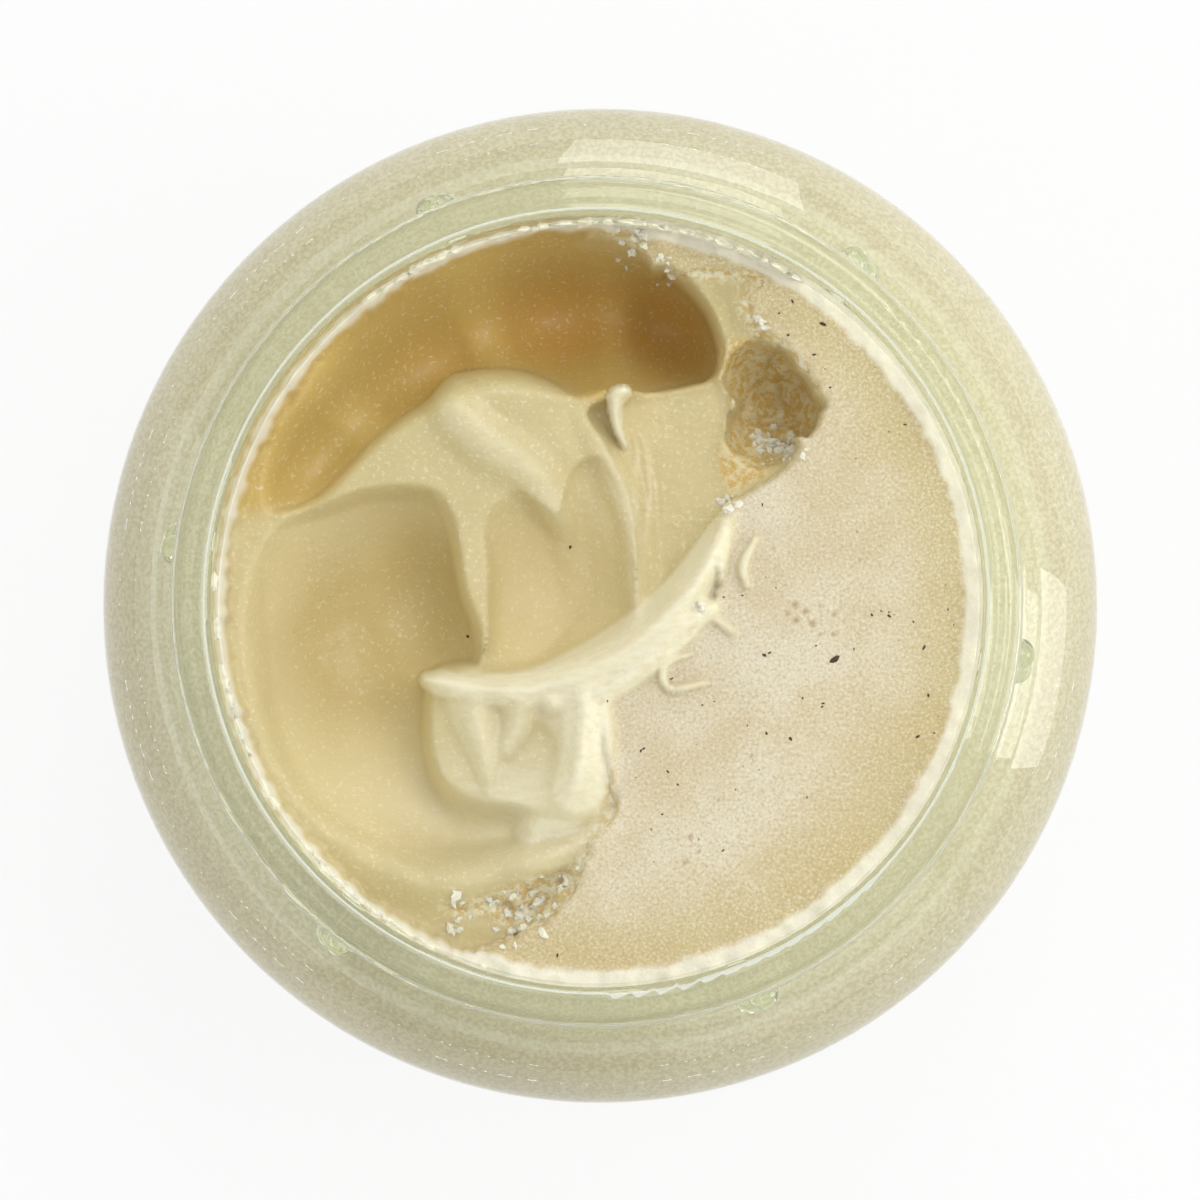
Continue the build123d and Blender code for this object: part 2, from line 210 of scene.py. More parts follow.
def shoulder(t):
    """Zero to one along a quarter circle: steep first, then flat."""
    t = np.clip(t, 0, 1)
    return np.sqrt(1 - (1 - t) ** 2)


def smooth_min(a, b, blend):
    """The lower of two surfaces, rounded over where they cross."""
    share = np.clip(0.5 + 0.5 * (b - a) / blend, 0, 1)
    return b * (1 - share) + a * share - blend * share * (1 - share)


def grain(x, y, size, seed):
    """Smooth noise from -1 to 1 with lumps of about the given size."""
    u, v = x / size, y / size
    left, low = np.floor(u), np.floor(v)
    across, up = ease(u - left), ease(v - low)

    def corner(i, j):
        mixed = np.sin((left + i) * 127.1 + (low + j) * 311.7 + seed * 74.7) * 43758.5453
        return 2 * (mixed - np.floor(mixed)) - 1

    bottom = corner(0, 0) * (1 - across) + corner(1, 0) * across
    top = corner(0, 1) * (1 - across) + corner(1, 1) * across
    return bottom * (1 - up) + top * up


def rounded(points, closed=False, per_span=6):
    """Points on a smooth line through the given ones, with all their columns."""
    given = np.array(points, float)
    if closed:
        ends = np.vstack([given[-1], given, given[0], given[1]])
    else:
        ends = np.vstack([2 * given[0] - given[1], given, 2 * given[-1] - given[-2]])
    line = []
    for a, b, c, d in zip(ends, ends[1:], ends[2:], ends[3:]):
        for t in np.arange(per_span) / per_span:
            line.append(0.5 * (2 * b + (c - a) * t + (2 * a - 5 * b + 4 * c - d) * t ** 2
                               + (3 * b - 3 * c + d - a) * t ** 3))
    line.append(given[0] if closed else given[-1])
    return np.array(line)


def nearest(x, y, line):
    """Distance to a line of points, and the line's other columns at the nearest place."""
    best = np.full(x.shape, 1e9)
    extra = np.zeros(x.shape + (line.shape[1] - 2,))
    for start, end in zip(line[:-1], line[1:]):
        run = end[:2] - start[:2]
        t = ((x - start[0]) * run[0] + (y - start[1]) * run[1]) / (run @ run + 1e-12)
        t = np.clip(t, 0, 1)
        away = np.hypot(x - start[0] - t * run[0], y - start[1] - t * run[1])
        closer = away < best
        best[closer] = away[closer]
        share = t[closer][:, None]
        extra[closer] = start[2:] * (1 - share) + end[2:] * share
    return best, extra


def depth_inside(x, y, outline):
    """Distance to a closed outline: positive inside it, negative outside."""
    line = rounded(outline, closed=True)
    away, _ = nearest(x, y, line)
    inside = np.zeros(x.shape, bool)
    for (x0, y0), (x1, y1) in zip(line[:-1], line[1:]):
        if y0 != y1:
            crossing = x0 + (x1 - x0) * (y - y0) / (y1 - y0)
            inside ^= ((y0 > y) != (y1 > y)) & (x < crossing)
    return np.where(inside, away, -away)


def bowl(x, y, centre, half_length, half_width, turn, rim, floor):
    """Surface that a spoon leaves: an elliptic bowl, open above its rim."""
    angle = math.radians(turn)
    u = (x - centre[0]) * math.cos(angle) + (y - centre[1]) * math.sin(angle)
    v = (y - centre[1]) * math.cos(angle) - (x - centre[0]) * math.sin(angle)
    return rim - (rim - floor) * (1 - (u / half_length) ** 2 - (v / half_width) ** 2)


def spooned(x, y, marks):
    """Surface that several spoon marks leave, rounded where they meet."""
    surface = None
    for *mark, blend in marks:
        left = bowl(x, y, *mark)
        surface = left if surface is None else smooth_min(surface, left, blend)
    return surface


def patch(x, y, place):
    """Soft round patch: (x, y, reach along x, reach along y, strength)."""
    px, py, reach_x, reach_y, strength = place
    return strength * np.exp(-((x - px) / reach_x) ** 2 - ((y - py) / reach_y) ** 2)


def level_through(x, y, places, reach=3.2):
    """Gentle surface through named places, each (x, y, height)."""
    total, weights = 0.0, 1e-12
    for px, py, height in places:
        weight = np.exp(-((x - px) ** 2 + (y - py) ** 2) / (2 * reach ** 2)) + 1e-9
        total = total + weight * height
        weights = weights + weight
    return total / weights


def set_in(z, floor, inside, wall, form=ease):
    """Lower the surface to a floor inside an outline, over a wall of the given width."""
    lowered = np.minimum(z, floor)
    return np.where(inside > 0, z + (lowered - z) * form(inside / wall), z)


def bead(z, x, y, route, form=shoulder):
    """Lay a strand along a route of (x, y, top, half width) on the surface."""
    away, extra = nearest(x, y, rounded(route))
    top, half = extra[..., 0], extra[..., 1]
    raised = z + (top - z) * form(1 - away / np.maximum(half, 0.05))
    return np.where(away < half, np.maximum(z, raised), z)


def crest(z, x, y, route):
    """Raise the surface softly along a route of (x, y, rise, half width)."""
    away, extra = nearest(x, y, rounded(route))
    return z + extra[..., 0] * np.clip(1 - (away / (1.6 * extra[..., 1])) ** 2, 0, 1) ** 2


def dig(x, y, torn_x, torn_y):
    """The dug surface: its height, how much painted shade darkens the hollow, and how far in the side
    pit it lies.
    """
    sway_x = x + 0.35 * grain(x, y, 6.0, 1)
    sway_y = y + 0.35 * grain(x, y, 6.0, 2)
    hollow = smooth_min(spooned(x, y, HOLLOW_MARKS), np.full(x.shape, HOLLOW_BRIM), 1.5)
    dug = level_through(x, y, DUG_LEVEL)
    front = depth_inside(sway_x, sway_y, HOLLOW_FRONT)
    # Painted shade: the deep hollow is coloured darker and browner, as little light reaches into it.
    hollow_shade = 1 - ease((front + 1.2) / 2.4)
    wall = 1.2 + 2.2 * np.exp(-((x + 11) ** 2 + (y - 21) ** 2) / 60)
    low = np.minimum(hollow, dug)
    z = np.where(front > 0, low + (dug - low) * shoulder(front / wall), low)

    # The large bowl's wall is gentle in front and at the glass, steep elsewhere
    brink = 1.6 + 5.4 * np.exp(-((y + 27) / 6.5) ** 2) + 1.6 * np.exp(-((x + 33) / 4) ** 2)
    large = spooned(x, y, LARGE_MARKS)
    z = set_in(z, large, depth_inside(sway_x, sway_y, LARGE_BOWL), brink)
    arch = 1.2 + 3.0 * ease((x + 6.5) / 5)
    small = spooned(x, y, SMALL_MARKS)
    z = set_in(z, small, depth_inside(sway_x, sway_y, SMALL_BOWL), arch, shoulder)
    shelf_floor = SHELF_LEVEL + 0.05 * x - 0.02 * y
    z = set_in(z, shelf_floor, depth_inside(x, y, SHELF), 1.5, shoulder)

    pit = np.minimum(spooned(x, y, PIT_MARKS), PIT_BRIM)
    pit = pit + 0.7 * grain(x, y, 2.2, 18) + 0.4 * grain(x, y, 0.9, 19)
    pit_inside = depth_inside(torn_x, torn_y, SIDE_PIT)
    z = set_in(z, pit, pit_inside, 0.9, shoulder)
    z = z - 1.2 * ease(depth_inside(x, y, BARE_SLOPE) / 2.5)
    z = z + 0.10 * grain(x, y, 3.5, 7) + 0.05 * grain(x, y, 1.2, 8) + 0.02 * grain(x, y, 0.5, 9)
    return z, hollow_shade, pit_inside


def fold(z, x, y, foam):
    """Lay the folds and strands on the dug honey: its height, and how pale it is, partly from pulled
    strands and partly from painted light on raised crests and tops.
    """
    z = crest(z, x, y, FRONT_LIP)
    smeared = patch(x, y, SMEAR) * (1 - foam)
    smooth = z
    for route in CRESTS[:2]:
        z = crest(z, x, y, route)
    # Painted highlight: crests raised by the folds are coloured cream, along with the cream smear in
    # front.
    crest_light_and_smear = np.maximum(smeared, 0.35 * ease((z - smooth - 0.35) / 0.6))
    low = z
    for route in (TONGUE, TONGUE_FOLD):
        z = bead(z, x, y, route, ease)
    # The tongue and its fold are coloured paler: partly pulled honey, partly painted light on their
    # tops.
    drawn_and_lit = np.maximum(crest_light_and_smear, 0.6 * ease((z - low) / 0.9))
    low = z
    for route in (LOOP, RIBBON_EDGE, RIBBON):
        z = bead(z, x, y, route, ease)
    for route in THREADS:
        z = bead(z, x, y, route)
    # Loop, ribbon and strands are coloured cream: partly pulled honey, partly painted light on their
    # tops.
    drawn_and_lit = np.maximum(drawn_and_lit, ease((z - low) / 0.9))
    for route in CRESTS[2:]:
        z = crest(z, x, y, route)
    # Painted highlight: the low crests are coloured cream as well.
    return z, np.maximum(drawn_and_lit, 0.7 * ease((z - low) / 1.2))


def relief(x, y):
    """Height of the honey at (x, y), and what is painted there, by name."""
    torn_x = x + 0.30 * grain(x, y, 1.3, 3) + 0.18 * grain(x, y, 0.55, 4)
    torn_y = y + 0.30 * grain(x, y, 1.3, 5) + 0.18 * grain(x, y, 0.55, 6)
    z, hollow_shade, pit_inside = dig(x, y, torn_x, torn_y)
    foam_inside = depth_inside(torn_x, torn_y, FOAM_SKIN)
    skin = 0.08 * grain(x, y, 8.0, 10) + 0.03 * grain(x, y, 1.0, 11)
    z = z + (skin - z) * shoulder(foam_inside / 0.6)
    crumb_inside = depth_inside(torn_x, torn_y, CRUMB_PIT)
    crumbs = ease(crumb_inside / 1.2)
    torn_floor = -3.4 + 1.0 * grain(x, y, 1.6, 12) + 0.6 * grain(x, y, 0.7, 13)
    z = z + (torn_floor - z) * ease(crumb_inside / 2.0)
    foam = ease(foam_inside / 0.5) * (1 - crumbs)
    z, drawn_and_lit = fold(z, x, y, foam)

    # Burst bubbles are coloured darker: partly the honey under the foam, partly painted shade in their
    # pits.
    pocks = np.zeros(x.shape)
    for bx, by, radius in BUBBLES:
        away = np.hypot(x - bx, y - by) / radius
        pocks = np.maximum(pocks, 1 - ease(away / 1.1))
        ring = np.exp(-((away - 1.1) / 0.25) ** 2)
        z = z - 0.5 * radius * (1 - ease(away)) + 0.12 * radius * ring
    edge = MOUTH_RADIUS - np.hypot(x, y)
    crust = 0.35 + 0.45 * grain(x, y, 1.3, 14) + 0.35 * grain(x, y, 4.5, 16)
    thick = 0.95 + 1.1 * foam + 0.35 * grain(x, y, 0.9, 15) + 0.25 * grain(x, y, 5.0, 17)
    on_glass = 1 - ease(edge / thick)
    z = z + (np.maximum(z, crust) - z) * on_glass ** 0.6
    torn = np.maximum(crumbs, np.exp(-(foam_inside / 0.8) ** 2) * (z > -2.5))
    torn = np.maximum(torn, ease(pit_inside / 0.8) * 0.6)
    wet = np.max([patch(x, y, place) for place in WET], axis=0)
    # Painted shade: the side pit is coloured darker and browner too.
    hollow_shade = np.maximum(hollow_shade * (1 - foam), ease(pit_inside / 0.8))
    return z, {"foam": foam, "torn": torn, "drawn_and_lit": drawn_and_lit, "crust": on_glass, "pocks": pocks,
               "wet": wet, "hollow_shade": hollow_shade}


def cavity_profile():
    """(radius, height) down the inside of the glass, from the honey's edge to its floor."""
    neck_foot = JAR_HEIGHT - NECK_HEIGHT
    start = np.array([MOUTH_RADIUS, neck_foot - BODY_WALL / 2])
    side = BODY_RADIUS - BODY_WALL
    end = np.array([side, neck_foot - SHOULDER_HEIGHT])
    chord = end - start
    length = np.hypot(*chord)
    outward = np.array([-chord[1], chord[0]]) / length
    rise = length * SHOULDER_BULGE / 2
    points = [start + chord * t + outward * rise * 4 * t * (1 - t) for t in np.linspace(0, 1, 7)]
    floor = BASE_THICKNESS
    for angle in np.linspace(0, math.pi / 2, 6):
        points.append((side - INNER_HEEL_RADIUS * (1 - math.cos(angle)),
                       floor + INNER_HEEL_RADIUS * (1 - math.sin(angle))))
    return np.array(points)


class Sum:
    """A socket in shader maths: arithmetic on it adds Math nodes."""

    def __init__(self, recipe, socket):
        self.recipe = recipe
        self.socket = socket

    def _math(self, operation, *values):
        return self.recipe.node("ShaderNodeMath", {"operation": operation}, dict(enumerate(values)))

    def __add__(self, other):
        return self._math("ADD", self, other)

    def __radd__(self, other):
        return self._math("ADD", other, self)

    def __sub__(self, other):
        return self._math("SUBTRACT", self, other)

    def __rsub__(self, other):
        return self._math("SUBTRACT", other, self)

    def __mul__(self, other):
        return self._math("MULTIPLY", self, other)

    def __rmul__(self, other):
        return self._math("MULTIPLY", other, self)

    def above(self, low, high):
        """Zero below low, one above high, soft between."""
        settings = {"interpolation_type": "SMOOTHSTEP"}
        return self.recipe.node("ShaderNodeMapRange", settings, {0: self, 1: low, 2: high})


class Recipe:
    """One node material while it is put together."""

    def __init__(self, name):
        self.material = bpy.data.materials.new(name)
        self.material.use_nodes = True
        self.tree = self.material.node_tree
        self.tree.nodes.clear()

    @classmethod
    def around(cls, tree):
        """A recipe on a node tree that is there already."""
        recipe = cls.__new__(cls)
        recipe.tree = tree
        tree.nodes.clear()
        return recipe

    def node(self, kind, settings=None, sockets=None, output=0):
        """Add a node: its settings first, then its sockets' values or links."""
        made = self.tree.nodes.new(kind)
        for name, value in (settings or {}).items():
            setattr(made, name, value)
        for key, value in (sockets or {}).items():
            if isinstance(value, Sum):
                self.tree.links.new(value.socket, made.inputs[key])
            else:
                made.inputs[key].default_value = value
        return Sum(self, made.outputs[output]) if made.outputs else None

    def place(self):
        """Object coordinates in metres."""
        return self.node("ShaderNodeTexCoord", output="Object")

    def attribute(self, name):
        """A number painted on the mesh's points."""
        return self.node("ShaderNodeAttribute", {"attribute_name": name}, output="Fac")

    def noise(self, place, size_mm, detail=2.0, roughness=0.5):
        """Cloudy noise from 0 to 1 with lumps of a size."""
        sockets = {"Vector": place, "Scale": 1000.0 / size_mm, "Detail": detail,
                   "Roughness": roughness}
        return self.node("ShaderNodeTexNoise", None, sockets)

    def cells(self, place, size_mm):
        """Distance to scattered points a given size apart."""
        return self.node("ShaderNodeTexVoronoi", None,
                         {"Vector": place, "Scale": 1000.0 / size_mm, "Randomness": 1.0})

    def blend(self, share, first, second):
        """Mix two colours."""
        colours = [c if isinstance(c, Sum) else (*c, 1.0) for c in (first, second)]
        return self.node("ShaderNodeMix", {"data_type": "RGBA"},
                         {0: share, 6: colours[0], 7: colours[1]}, 2)

    def bump(self, height, distance_mm, strength):
        """Normal raised by a height of 0 to 1."""
        return self.node("ShaderNodeBump", None, {
            "Height": height, "Distance": distance_mm * MM, "Strength": strength})

    def finish(self, shader):
        """Send the shader out and give the material."""
        self.node("ShaderNodeOutputMaterial", None, {"Surface": shader})
        return self.material


def glass_finish(colours):
    """Clear pressed glass, faintly green, hazy at the neck, that lets light on to the honey."""
    recipe = Recipe("clear_glass")
    place = recipe.place()
    ripple = recipe.noise(place, 9.0, 1.0)
    normal = recipe.bump(ripple, 0.25, 0.35)
    height = recipe.node("ShaderNodeSeparateXYZ", None, {"Vector": place}, "Z")
    neck = height.above((JAR_HEIGHT - NECK_HEIGHT) * MM, (JAR_HEIGHT - NECK_HEIGHT + 1.5) * MM)
    glass = recipe.node("ShaderNodeBsdfPrincipled", None, {
        "Base Color": recipe.blend(neck, colours.glass, colours.neck), "Roughness": 0.0,
        "IOR": 1.5, "Transmission Weight": 1.0, "Normal": normal})
    clear = recipe.node("ShaderNodeBsdfTransparent", None, {"Color": (0.97, 0.98, 0.95, 1.0)})
    haze = recipe.node("ShaderNodeBsdfDiffuse", None, {"Color": (*colours.haze, 1.0)})
    glass = recipe.node("ShaderNodeMixShader", None, {0: neck * 0.11, 1: glass, 2: haze})
    shadow = recipe.node("ShaderNodeLightPath", output="Is Shadow Ray")
    return recipe.finish(recipe.node("ShaderNodeMixShader", None, {0: shadow, 1: glass, 2: clear}))


def honey_finish(colours):
    """Creamed honey with a foam skin; its cream peaks, tan floors and dark browner depths are partly
    painted light and shade.
    """
    recipe = Recipe("creamed_honey")
    place = recipe.place()
    foam = recipe.attribute("foam")
    torn = recipe.attribute("torn")
    depth = recipe.attribute("depth")
    drawn_and_lit = recipe.attribute("drawn_and_lit")
    cloud = recipe.noise(place, 7.0, 2.0)
    fine = recipe.noise(place, 0.42, 2.0, 0.6)
    stroke = recipe.node("ShaderNodeMapping", None, {
        "Vector": place, "Rotation": (0.0, 0.0, math.radians(-38)), "Scale": (0.28, 1.0, 1.0)})
    streaks = recipe.noise(stroke, 0.55, 3.0, 0.65)
    bits = recipe.noise(place, 0.9, 3.0, 0.7)

    # Painted light and shade by depth: paler bowl floors and darker, browner deepest places stand for
    # light scattered into the honey.
    tone = depth + (cloud - 0.5) * 0.16 + (fine - 0.5) * 0.14 + (streaks - 0.5) * 0.18
    dug = recipe.blend(tone.above(0.05, 0.42), colours.paste, colours.floor)
    dug = recipe.blend(tone.above(0.40, 0.80), dug, colours.bowl_depth)
    hollow = recipe.blend(tone.above(0.55, 1.05), colours.hollow, colours.depth)
    # Painted shade: the hollow and the side pit take the darker, browner hollow colours.
    dug = recipe.blend(recipe.attribute("hollow_shade") * 0.92, dug, hollow)
    dug = recipe.blend(torn * bits.above(0.40, 0.60) * 0.8, dug, colours.cream)
    dug = recipe.blend(torn * bits.above(0.55, 0.35) * 0.6, dug, colours.depth)
    # Cream on raised crests and strands: partly pulled honey, partly painted light on raised tops.
    dug = recipe.blend(drawn_and_lit * (0.75 + (streaks - 0.5) * 0.8), dug, colours.cream)
    glints = fine.above(0.56, 0.72) * 0.40
    dug = recipe.blend(glints, dug, colours.cream)

    patch = recipe.noise(place, 9.0, 2.0)
    rim = recipe.attribute("rim")
    skin = recipe.blend(patch.above(0.35, 0.70), colours.foam, colours.foam_warm)
    skin = recipe.blend(rim * 0.75, skin, colours.foam_rim)
    froth = recipe.cells(place, 0.34)
    pores = recipe.noise(place, 0.30, 2.0, 0.6)
    skin = recipe.blend(pores.above(0.50, 0.68) * 0.34, skin, colours.foam_white)
    skin = recipe.blend(pores.above(0.48, 0.32) * 0.42, skin, colours.foam_hole)
    milk = froth.above(0.40, 0.12) * patch.above(0.60, 0.40)
    skin = recipe.blend(milk * 0.40, skin, colours.foam_white)
    # Burst bubbles: partly the honey under the foam, partly painted shade in their pits.
    skin = recipe.blend(recipe.attribute("pocks") * 0.85, skin, colours.foam_hole)
    colour = recipe.blend(foam * (1 - drawn_and_lit), dug, skin)
    crust = recipe.attribute("crust")
    colour = recipe.blend(crust.above(0.05, 0.55) * (0.60 + bits * 0.5), colour, colours.foam_white)

    wet = recipe.attribute("wet")
    rough = 0.42 - wet * 0.26 + foam * 0.14 + (streaks - 0.5) * 0.35 + (fine - 0.5) * 0.25
    height = bits * 0.55 + streaks * (1 - foam) * 0.35 + fine * 0.25 + froth * foam * 0.25
    normal = recipe.bump(height, 0.16, 0.75)
    shader = recipe.node("ShaderNodeBsdfPrincipled", None, {
        "Base Color": colour, "Roughness": rough, "IOR": 1.48, "Normal": normal,
        "Subsurface Weight": 0.12, "Subsurface Radius": (1.0, 0.66, 0.30),
        "Subsurface Scale": 1.8 * MM})
    return recipe.finish(shader)


def side_finish(colours):
    """Honey pressed against the glass, with pale crystals."""
    recipe = Recipe("honey_at_the_glass")
    crystals = recipe.noise(recipe.place(), 0.42, 2.0, 0.6)
    colour = recipe.blend(crystals.above(0.35, 0.65), colours.side, colours.side_pale)
    shader = recipe.node("ShaderNodeBsdfPrincipled", None, {
        "Base Color": colour, "Roughness": 0.45 + (crystals - 0.5) * 0.25, "IOR": 1.48})
    return recipe.finish(shader)


def crumb_finish(colours):
    """Dry torn bits of creamed honey."""
    recipe = Recipe("honey_crumbs")
    place = recipe.place()
    grit = recipe.noise(place, 0.6, 3.0)
    colour = recipe.blend(grit.above(0.3, 0.7), colours.cream, colours.foam_white)
    normal = recipe.bump(grit, 0.08, 0.6)
    shader = recipe.node("ShaderNodeBsdfPrincipled", None, {
        "Base Color": colour, "Roughness": 0.5, "Normal": normal,
        "Subsurface Weight": 0.3, "Subsurface Radius": (1.0, 0.7, 0.35),
        "Subsurface Scale": 1.0 * MM})
    return recipe.finish(shader)


def speck_finish(colours):
    """Dark bits of wax and pollen."""
    recipe = Recipe("pollen_specks")
    grit = recipe.noise(recipe.place(), 0.25, 2.0)
    colour = recipe.blend(grit, colours.speck, colours.speck_light)
    shader = recipe.node("ShaderNodeBsdfPrincipled", None, {
        "Base Color": colour, "Roughness": 0.45})
    return recipe.finish(shader)


def floor_finish():
    """Pale ground that keeps the jar's shadow and is close to white to the eye."""
    recipe = Recipe("pale_ground")
    path = recipe.tree.nodes.new("ShaderNodeLightPath")
    seen = Sum(recipe, path.outputs["Is Camera Ray"]) + Sum(recipe, path.outputs["Is Glossy Ray"])
    seen = seen + Sum(recipe, path.outputs["Is Transmission Ray"])
    matt = recipe.node("ShaderNodeBsdfDiffuse", None, {"Color": (0.9, 0.9, 0.9, 1.0)})
    white = recipe.node("ShaderNodeEmission", None, {"Color": (1, 1, 1, 1), "Strength": 1.0})
    share = seen.above(0.0, 1.0) * 0.86
    return recipe.finish(recipe.node("ShaderNodeMixShader", None, {0: share, 1: matt, 2: white}))


def only(piece):
    """Make one object the selected and active one."""
    bpy.ops.object.select_all(action="DESELECT")
    piece.select_set(True)
    bpy.context.view_layer.objects.active = piece


def dress(piece, name, material):
    """Name a finished piece, give it its material and let it ride on the jar."""
    piece.name = name
    piece.data.name = name
    piece.data.materials.clear()
    piece.data.materials.append(material)
    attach(piece, "root")
    return piece


def paint(mesh, name, values):
    """Store a number for each point of a mesh."""
    layer = mesh.attributes.new(name, "FLOAT", "POINT")
    layer.data.foreach_set("value", np.asarray(values, np.float32))


def scatter(shape, places, lumpiness):
    """Copies of a small mesh joined in one: (position, three half sizes, turn, seed) each."""
    points = np.array([v.co[:] for v in shape.vertices])
    faces = np.array([p.vertices[:] for p in shape.polygons])
    all_points, all_faces = [], []
    for position, half, turn, seed in places:
        lumps = 1 + lumpiness * grain(points[:, 0] * 3 + points[:, 2] * 2, points[:, 1] * 3, 0.9,
                                      seed)
        body = points * lumps[:, None] * np.array(half)
        c, s = math.cos(turn), math.sin(turn)
        body = np.column_stack([body[:, 0] * c - body[:, 1] * s,
                                body[:, 0] * s + body[:, 1] * c, body[:, 2]])
        all_faces.append(faces + len(points) * len(all_points))
        all_points.append(body + np.array(position))
    mesh = bpy.data.meshes.new("scatter")
    mesh.from_pydata((np.vstack(all_points) * MM).tolist(), [], np.vstack(all_faces).tolist())
    piece = bpy.data.objects.new("scatter", mesh)
    bpy.context.scene.collection.objects.link(piece)
    return piece


def little_ball(subdivisions):
    """Mesh of a unit ball, taken from a primitive that is then removed."""
    bpy.ops.object.select_all(action="DESELECT")
    bpy.ops.mesh.primitive_ico_sphere_add(subdivisions=subdivisions, radius=1.0)
    ball = bpy.context.object
    shape = ball.data.copy()
    bpy.data.objects.remove(ball)
    return shape


def tint(name, words, red, green, blue):
    """A colour that a user can change, given as 0 to 255 display values."""
    return bpy.props.FloatVectorProperty(name=name, description=words, subtype="COLOR", size=3,
                                         min=0, max=1, default=from_screen(red, green, blue))


class HoneyColours(bpy.types.PropertyGroup):
    """Colours of the honey, its foam and the glass, some of them painted light and shade on the honey.
    """

    # Cream is also painted light on raised crests and tops.
    cream: tint("Cream", "Raised folds and strands", 246, 240, 214)
    paste: tint("Paste", "Smooth dug honey near the level", 210, 195, 146)
    # Set by the painted depth: painted light on the bowl floors, painted shade in the deepest places of
    # the bowls and the hollow.
    floor: tint("Floor", "Floors of the bowls", 225, 208, 158)
    bowl_depth: tint("Bowl depth", "Deepest places of the bowls", 212, 189, 128)
    hollow: tint("Hollow", "Walls of the deep hollow", 212, 182, 106)
    depth: tint("Depth", "Bottom of the deep hollow", 218, 172, 92)
    side: tint("Side", "Honey against the glass", 206, 196, 162)
    side_pale: tint("Pale side", "Crystals against the glass", 224, 216, 188)
    foam: tint("Foam", "Foam skin", 222, 211, 184)
    foam_warm: tint("Warm foam", "Tan patches of the foam skin", 212, 196, 160)
    foam_rim: tint("Foam at the glass", "Foam skin near the glass", 204, 184, 132)
    foam_white: tint("White froth", "Smallest bubbles", 244, 239, 224)
    # Partly painted shade in the pits of burst bubbles.
    foam_hole: tint("Burst bubbles", "Burst bubbles in the foam", 186, 160, 114)
    speck: tint("Speck", "Darkest specks", 38, 28, 18)
    speck_light: tint("Light speck", "Lighter specks", 96, 66, 36)
    glass: tint("Glass", "Tint of the clear glass", 243, 245, 239)
    neck: tint("Neck", "Tint of the thick glass of the neck", 234, 238, 218)
    haze: tint("Haze", "Faint film on the neck", 226, 228, 202)


class HoneySizes(bpy.types.PropertyGroup):
    """Fineness and counts of the honey's details."""

    grid: bpy.props.IntProperty(name="Surface fineness", description="Cells across the honey",
                                default=262, min=64, max=270)
    speck_count: bpy.props.IntProperty(name="Specks", description="Dark specks on the foam",
                                       default=90, min=0, max=400)
    crumb_count: bpy.props.IntProperty(name="Crumbs", description="Crumbs at the torn edges",
                                       default=130, min=0, max=600)
    smear_count: bpy.props.IntProperty(name="Smears", description="Smears on the glass",
                                       default=150, min=0, max=600)
    lens: bpy.props.FloatProperty(name="Lens", description="Focal length in millimetres",
                                  default=236.4, min=20, max=600)
    distance: bpy.props.FloatProperty(name="Camera height", description="Above the lip",
                                      default=0.714, min=0.1, max=5, unit="LENGTH")


class HONEY_OT_glass(bpy.types.Operator):
    """Give the jar its clear glass"""
    bl_idname = "honey_jar.glass"
    bl_label = "Glass jar"

    def execute(self, context):
        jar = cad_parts["glass_jar"]
        jar.data.materials.clear()
        colours = context.scene.honey_colours
        jar.data.materials.append(glass_finish(colours))
        return {"FINISHED"}


